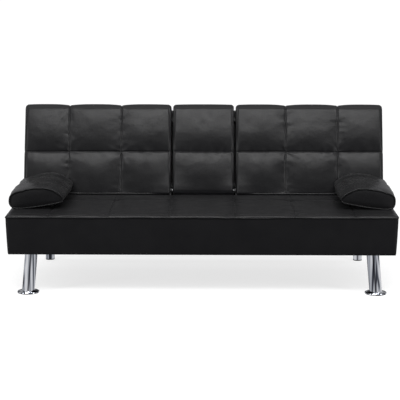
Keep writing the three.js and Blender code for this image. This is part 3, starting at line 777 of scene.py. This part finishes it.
def build_bay_panel():
    """The upholstered panel behind the console, tucked in behind both sections."""
    low, high = (100.7, BAY_LOW), (106, BAY_HIGH)
    loop = Loop(low, high, (1.5, 1.5, 1.5, 1.5), [101, 105], samples(BAY_LOW, BAY_HIGH, 8))
    points, faces = loft(loop, samples(-BAY_HALF_WIDTH, BAY_HALF_WIDTH, 8), 1.6, 3)
    normals = normals_of(points, faces)
    rear = facing(normals[:, 1], 0.3, 0.9)
    rise = dome(points[:, 0], [-BAY_HALF_WIDTH, BAY_HALF_WIDTH], 6)
    rise = rise * dome(points[:, 2], [BAY_LOW, BAY_HIGH], 8)
    drop = rear * (1.4 * (1 - rise))
    panel = new_piece(
        "console_bay_upholstery",
        back_to_world(points - normals * drop[:, None]),
        faces,
        "backrest",
        "black_leather",
        ("console_bay_panel",),
    )


def cup_cutter(x, radius, floor):
    """A round plug through the console's rear, down to a floor."""
    points, faces = turned([(radius, floor), (radius, CONSOLE_REAR + 20)], (0, 0), 64)
    local = np.column_stack([x + points[:, 0], points[:, 2], CUP_U + points[:, 1]])
    return back_to_world(local), outward(local, faces)


def build_table_pad():
    """The console's rear, which is the table's top: a thin padded panel with two cup holes."""
    front = CONSOLE_REAR - TABLE_THICKNESS
    loop = Loop(
        (front, TABLE_LOW),
        (CONSOLE_REAR, TABLE_HIGH),
        (1, 3, 3, 1),
        samples(front, CONSOLE_REAR, 2),
        samples(TABLE_LOW, TABLE_HIGH, 6),
    )
    points, faces = loft(loop, samples(-TABLE_HALF_WIDTH, TABLE_HALF_WIDTH, 6), 2.6, 4)
    normals = normals_of(points, faces)
    x, u = points[:, 0], points[:, 2]
    rear = facing(normals[:, 1], 0.3, 0.9)
    rise = dome(x, [-127, 127], 6) * dome(u, [TABLE_LOW, TABLE_HIGH], 8)
    drop = rear * (1.6 * (1 - rise) + 0.25 * flat_noise(x / 40, u / 40, 91))
    pad = new_piece(
        "console_table_pad",
        back_to_world(points - normals * drop[:, None]),
        faces,
        "console",
        "black_leather",
        ("console_rear_panel",),
    )
    for cup in (-CUP_X, CUP_X):
        cut(pad, *cup_cutter(cup, CUP_RADIUS + 2.2, 50))


def build_cup(side, mirror):
    """A moulded cup liner with a rolled rim and a raised ring in its floor."""
    rim = CONSOLE_REAR + 0.4
    radius, floor = CUP_RADIUS, 16.4
    profile = [(0, floor), (radius - 5, floor), (radius - 2, floor + 1), (radius, floor + 4)]
    profile += [(radius + 0.6, rim - 1), (radius + 5.4, rim - 0.4), (radius + 6.2, rim + 0.6)]
    profile += [(radius + 5.2, rim + 1.8), (radius + 2.5, rim + 2.6), (radius - 0.2, rim + 2.0)]
    profile += [(radius - 1.6, rim - 1), (radius - 2.2, floor + 8), (radius - 4, floor + 3.4)]
    profile += [(radius - 8, floor + 2.2), (16, floor + 2.2), (15, floor + 3), (13, floor + 3)]
    profile += [(12, floor + 2.2), (0, floor + 2.2)]
    points, faces = turned(profile, (0, 0), 96)
    local = np.column_stack([mirror * CUP_X + points[:, 0], points[:, 2], CUP_U + points[:, 1]])
    world = back_to_world(local)
    faces = outward(world, faces)
    replaced = (f"cup_holder_{side}",)
    new_piece(f"cup_liner_{side}", world, faces, "console", "black_plastic", replaced, sharp=50)


# ---- Armrest pillows ----------------------------------------------------------------------
# The section of a pillow, seen from the front: thick at its outer side, thin at its inner one.
PILLOW_OUTLINE = [
    (612, 376), (650, 367), (700, 358), (755, 350.5), (795, 347), (822, 351),
    (834, 366), (835, 388), (828, 404), (806, 415), (775, 424), (735, 433),
    (695, 435), (662, 430), (634, 417), (611, 400), (603, 388),
]
PILLOW_CENTRE = np.array([722.0, 389.0])
PILLOW_SIDES, PILLOW_ROWS = 150, 74
PILLOW_UNDERSIDE = 346.2
PILLOW_CAPS = [0.04, 0.12, 0.24, 0.38, 0.52, 0.66, 0.78, 0.88, 0.95, 0.985]


def closed_spline(points, count):
    """Even points along a closed Catmull-Rom curve."""
    points = np.array(points, float)
    total = len(points)
    fine = []
    for i in range(total):
        a, b, c, d = (points[(i + k) % total] for k in (-1, 0, 1, 2))
        for t in np.linspace(0, 1, 24, endpoint=False):
            square, cube = 2 * a - 5 * b + 4 * c - d, 3 * b - a - 3 * c + d
            fine.append(0.5 * (2 * b + (c - a) * t + square * t**2 + cube * t**3))
    fine = np.array(fine + [fine[0]])
    length = np.concatenate([[0], np.cumsum(np.linalg.norm(np.diff(fine, axis=0), axis=1))])
    wanted = np.linspace(0, length[-1], count, endpoint=False)
    return np.column_stack([np.interp(wanted, length, fine[:, axis]) for axis in (0, 1)])


def pillow_rings(front, rear):
    """The pillow's outline carried from front to rear, and closed by two bulging end panels."""
    section = closed_spline(PILLOW_OUTLINE, PILLOW_SIDES)
    rows = [(front - 6 * (1 - scale**3.2), scale) for scale in PILLOW_CAPS]
    rows += [(front + share * (rear - front), 1.0) for share in np.linspace(0, 1, PILLOW_ROWS)]
    rows += [(rear + 7 * (1 - scale**2.4), scale) for scale in PILLOW_CAPS[::-1]]
    rings = []
    for y, scale in rows:
        outline = PILLOW_CENTRE + (section - PILLOW_CENTRE) * scale
        rings.append(np.column_stack([outline[:, 0], np.full(len(outline), y), outline[:, 1]]))
    return rings


def pillow_rise(points, normals, front, rear, seed):
    """How far the filling pushes the cover out: fullness, gathers at the seams and creases."""
    x, y, z = points.T
    index = np.arange(len(x))
    share = np.clip((y - front) / (rear - front), 0, 1)
    end = np.minimum(share, 1 - share) * (rear - front)
    full_rings = range(len(PILLOW_CAPS), len(PILLOW_CAPS) + PILLOW_ROWS)
    body = (y >= front) & (y <= rear) & np.isin(index // PILLOW_SIDES, full_rings)
    around = index % PILLOW_SIDES * 4.0
    swell = 1 - np.exp(-end / 34)
    above = facing(normals[:, 2], 0.0, 0.7)
    beside = facing(np.abs(normals[:, 0]), 0.5, 1.0) * (1 - above)
    under = facing(-normals[:, 2], 0.2, 0.7)
    rise = swell * (9 * above + 5 * beside) + 10 * above * facing(y, 60, rear)
    gathers = noise(np.column_stack([around / 24, end / 60, np.full(len(x), 0.4)]), seed)
    rise += np.exp(-((end / 26) ** 2)) * 3.0 * gathers * (1 - np.exp(-end / 5)) * (1 - under)
    rise += (1 - under) * 3.2 * noise(np.column_stack([x / 75, y / 95, z / 75]), seed + 1)
    rise += (1 - under) * 0.9 * noise(np.column_stack([x / 46, y / 52, z / 46]), seed + 2)
    crease = noise(np.column_stack([(x + 1.1 * y) / 60, (y - 0.9 * x) / 120, z / 60]), seed + 3)
    ridges = (1 - np.abs(crease)) ** 3
    rise += above * 2.4 * ridges * swell * facing(np.abs(crease + 0.3), 0, 0.6)
    panel = 1.0 * noise(np.column_stack([x / 60, y / 60, z / 40]), seed + 4) * (1 - under)
    return np.where(under > 0.5, 0, np.where(body, rise, panel))


def build_pillow(side, mirror, seed):
    low, high = (np.array(corner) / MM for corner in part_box("armrest_pillow_right"))
    front, rear = low[1], high[1] + 8
    points, faces = skin(pillow_rings(front, rear))
    normals = normals_of(points, faces)
    points = points + normals * pillow_rise(points, normals, front, rear, seed)[:, None]
    points[:, 2] = np.maximum(points[:, 2], PILLOW_UNDERSIDE)
    points[:, 0] = np.minimum(points[:, 0], HALF_WIDTH + 8)
    points, faces = mirrored(points, faces, mirror)
    body, replaced = f"{side}_pillow", (f"armrest_pillow_{side}",)
    pillow = new_piece(f"pillow_{side}", points, faces, body, "pillow_leather", replaced, sharp=75)
    first = len(PILLOW_CAPS)
    for name, ring, forward in (("front", first, 2.6), ("rear", first + PILLOW_ROWS - 1, 0)):
        edge = points[ring * PILLOW_SIDES : (ring + 1) * PILLOW_SIDES].copy()
        upper = facing(edge[:, 2], 380, 400)
        edge[:, 1] -= forward
        edge[:, 2] += upper * (0.4 + 1.8 * flat_noise(edge[:, 0] / 15, edge[:, 2] / 40, seed + 9))
        welt_points, welt_faces = tube(np.concatenate([edge, edge[:2]]), 3.3, 12)
        new_piece(f"pillow_welt_{name}_{side}", welt_points, welt_faces, body, "pillow_leather")


# ---- Legs ---------------------------------------------------------------------------------
LEG_RADIUS = 27.0


def build_front_leg(side, mirror):
    """The splayed tube, leaning out from its plate to its foot."""
    flange_low, flange_high = (np.array(corner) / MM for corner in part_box("front_leg_flange_right"))
    tube_low, tube_high = (np.array(corner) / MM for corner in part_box("front_leg_tube_right"))
    foot = (flange_low + flange_high)[:2] / 2
    top = np.array([tube_low[0] + LEG_RADIUS, tube_high[1] - LEG_RADIUS])
    angles = 2 * math.pi * np.arange(96) / 96
    circle = LEG_RADIUS * np.column_stack([np.cos(angles), np.sin(angles)])
    rings = []
    for share in np.linspace(0, 1, 9):
        centre = foot + share * (top - foot)
        z = tube_low[2] + share * (tube_high[2] - tube_low[2])
        rings.append(np.column_stack([circle + centre, np.full(96, z)]))
    points, faces = mirrored(*skin(rings), mirror)
    replaced = (f"front_leg_tube_{side}",)
    new_piece(f"front_leg_{side}", points, faces, "base", "chrome", replaced, sharp=40)


def build_front_foot(side, mirror):
    """The round flange under the tube, with a rolled edge and a raised collar."""
    low, high = (np.array(corner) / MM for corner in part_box("front_leg_flange_right"))
    outer, base, peak = (high[0] - low[0]) / 2, low[2], high[2]
    profile = [(0, base), (outer - 1, base), (outer, base + 0.8), (outer, base + 3)]
    profile += [(outer - 1.2, base + 4.6), (outer - 8, base + 5.6), (LEG_RADIUS + 4, peak - 0.6)]
    profile += [(LEG_RADIUS + 1.4, peak + 2.0), (0, peak + 0.2)]
    points, faces = mirrored(*turned(profile, (low + high)[:2] / 2, 96), mirror)
    replaced = (f"front_leg_flange_{side}",)
    new_piece(f"front_foot_{side}", points, faces, "base", "chrome", replaced, sharp=40)


def build_plate_screws(side, mirror):
    """Four dome-headed screws up through the front leg's plate."""
    low, high = (np.array(corner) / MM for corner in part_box("front_leg_plate_right"))
    head = [(4.2, 0.4), (4.2, -0.8), (2.8, -1.8), (0.05, -1.9)]
    profile = [(radius, low[2] + height) for radius, height in head]
    spots = [(x, y) for x in (low[0] + 9, high[0] - 9) for y in (low[1] + 9, high[1] - 9)]
    points, faces = mirrored(*joined([turned(profile, spot, 20) for spot in spots]), mirror)
    new_piece(f"leg_plate_screws_{side}", points, faces, "base", "zinc_steel", sharp=40)


def build_rear_leg(side, mirror):
    low, high = (np.array(corner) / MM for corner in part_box("rear_leg_tube_right"))
    radius = (high[0] - low[0]) / 2
    points, faces = turned([(radius, low[2]), (radius, high[2])], (low + high)[:2] / 2, 80)
    points, faces = mirrored(points, faces, mirror)
    replaced = (f"rear_leg_tube_{side}",)
    new_piece(f"rear_leg_{side}", points, faces, "base", "chrome", replaced, sharp=40)


# ---- Stage --------------------------------------------------------------------------------
def build_stage():
    """A wide pale floor. It glows a little, and neither reflects in the sofa nor lights it."""
    floor = bpy.data.meshes.new("floor")
    reach = 60.0
    corners = [(-reach, -reach, 0), (reach, -reach, 0), (reach, reach, 0), (-reach, reach, 0)]
    floor.from_pydata(corners, [], [(0, 1, 2, 3)])
    nodes = Nodes("pale_floor")
    tone = nodes.noise(1.5, 2.0)
    color = nodes.mix(tone, (0.31, 0.31, 0.31), (0.33, 0.33, 0.33))
    nodes.shader.inputs["Emission Color"].default_value = (1, 1, 1, 1)
    nodes.shader.inputs["Emission Strength"].default_value = 0.72
    floor.materials.append(nodes.finish(color, nodes.spread(tone, 0.75, 0.85), specular=0.1))
    stage = bpy.data.objects.new("floor", floor)
    stage.visible_glossy = False
    stage.visible_diffuse = False
    bpy.context.scene.collection.objects.link(stage)


def area_light(name, place, target, size, power):
    data = bpy.data.lights.new(name, "AREA")
    data.shape = "RECTANGLE"
    data.size, data.size_y = size
    data.energy = power
    light = bpy.data.objects.new(name, data)
    light.location = place
    direction = Vector(target) - Vector(place)
    light.rotation_euler = direction.to_track_quat("-Z", "Y").to_euler()
    bpy.context.scene.collection.objects.link(light)


def build_lights():
    """A studio that is dark ahead, bright at the sides and paler above, a broad soft sky for the
    even floor, and three soft boxes for the leather's sheen."""
    world = bpy.data.worlds.new("studio")
    bpy.context.scene.world = world
    world.use_nodes = True
    background = world.node_tree.nodes["Background"]
    add, link = world.node_tree.nodes.new, world.node_tree.links.new
    split, sideways = add("ShaderNodeSeparateXYZ"), add("ShaderNodeMath")
    walls, height, blend = add("ShaderNodeValToRGB"), add("ShaderNodeValToRGB"), add("ShaderNodeMix")
    sideways.operation = "ABSOLUTE"
    blend.data_type = "RGBA"
    link(add("ShaderNodeTexCoord").outputs["Generated"], split.inputs[0])
    link(split.outputs["X"], sideways.inputs[0])
    link(sideways.outputs[0], walls.inputs["Fac"])
    link(split.outputs["Z"], height.inputs["Fac"])
    link(height.outputs["Color"], blend.inputs["Factor"])
    link(walls.outputs["Color"], blend.inputs[6])
    blend.inputs[7].default_value = (0.36, 0.36, 0.37, 1)
    link(blend.outputs[2], background.inputs["Color"])
    walls.color_ramp.elements[0].position = 0.12
    walls.color_ramp.elements[0].color = (0.10, 0.10, 0.11, 1)
    walls.color_ramp.elements[1].position = 0.45
    walls.color_ramp.elements[1].color = (0.72, 0.72, 0.73, 1)
    height.color_ramp.elements[0].position = 0.04
    height.color_ramp.elements[1].position = 0.6
    background.inputs["Strength"].default_value = 1.0
    sun = bpy.data.lights.new("sky", "SUN")
    sun.energy = 1.9
    sun.angle = math.radians(84)
    sky = bpy.data.objects.new("sky", sun)
    sky.rotation_euler = (math.radians(16), 0, 0)
    bpy.context.scene.collection.objects.link(sky)
    area_light("key", (0.0, -2.5, 3.2), (0, 0, 0.5), (3.6, 0.8), 100)
    area_light("left", (-3.3, -2.2, 1.7), (0, 0, 0.5), (0.6, 1.6), 40)
    area_light("right", (3.3, -2.2, 1.7), (0, 0, 0.5), (0.6, 1.6), 40)
    view = bpy.context.scene.view_settings
    view.view_transform = "Standard"
    view.look = "None"


CAMERA_DISTANCE, CAMERA_HEIGHT, CAMERA_ASIDE = 5844, 1.437, 0.08
CAMERA_PITCH, CAMERA_TURN = math.radians(9.93), 0.0148


def build_camera():
    """A long lens at standing height, a little right of the middle and turned back to it."""
    data = bpy.data.cameras.new("camera")
    data.sensor_width = 36.0
    data.lens = 126.6
    camera = bpy.data.objects.new("camera", data)
    camera.location = (CAMERA_ASIDE, (SEAT_FRONT - CAMERA_DISTANCE) * MM, CAMERA_HEIGHT)
    camera.rotation_euler = (math.pi / 2 - CAMERA_PITCH, 0, CAMERA_TURN)
    bpy.context.scene.collection.objects.link(camera)
    bpy.context.scene.camera = camera


build_seat()
build_seat_welt()
build_dust_cover()
build_tuck_roll()
for side, mirror, seed in (("left", -1, 100), ("right", 1, 200)):
    build_section(side, mirror, seed)
    build_section_staples(side, mirror)
    build_pillow(side, mirror, seed + 60)
    build_front_leg(side, mirror)
    build_front_foot(side, mirror)
    build_plate_screws(side, mirror)
    build_rear_leg(side, mirror)
    build_cup(side, mirror)
    build_spacer(side, mirror)
build_console()
build_table_pad()
build_bay_panel()
build_stage()
build_lights()
build_camera()
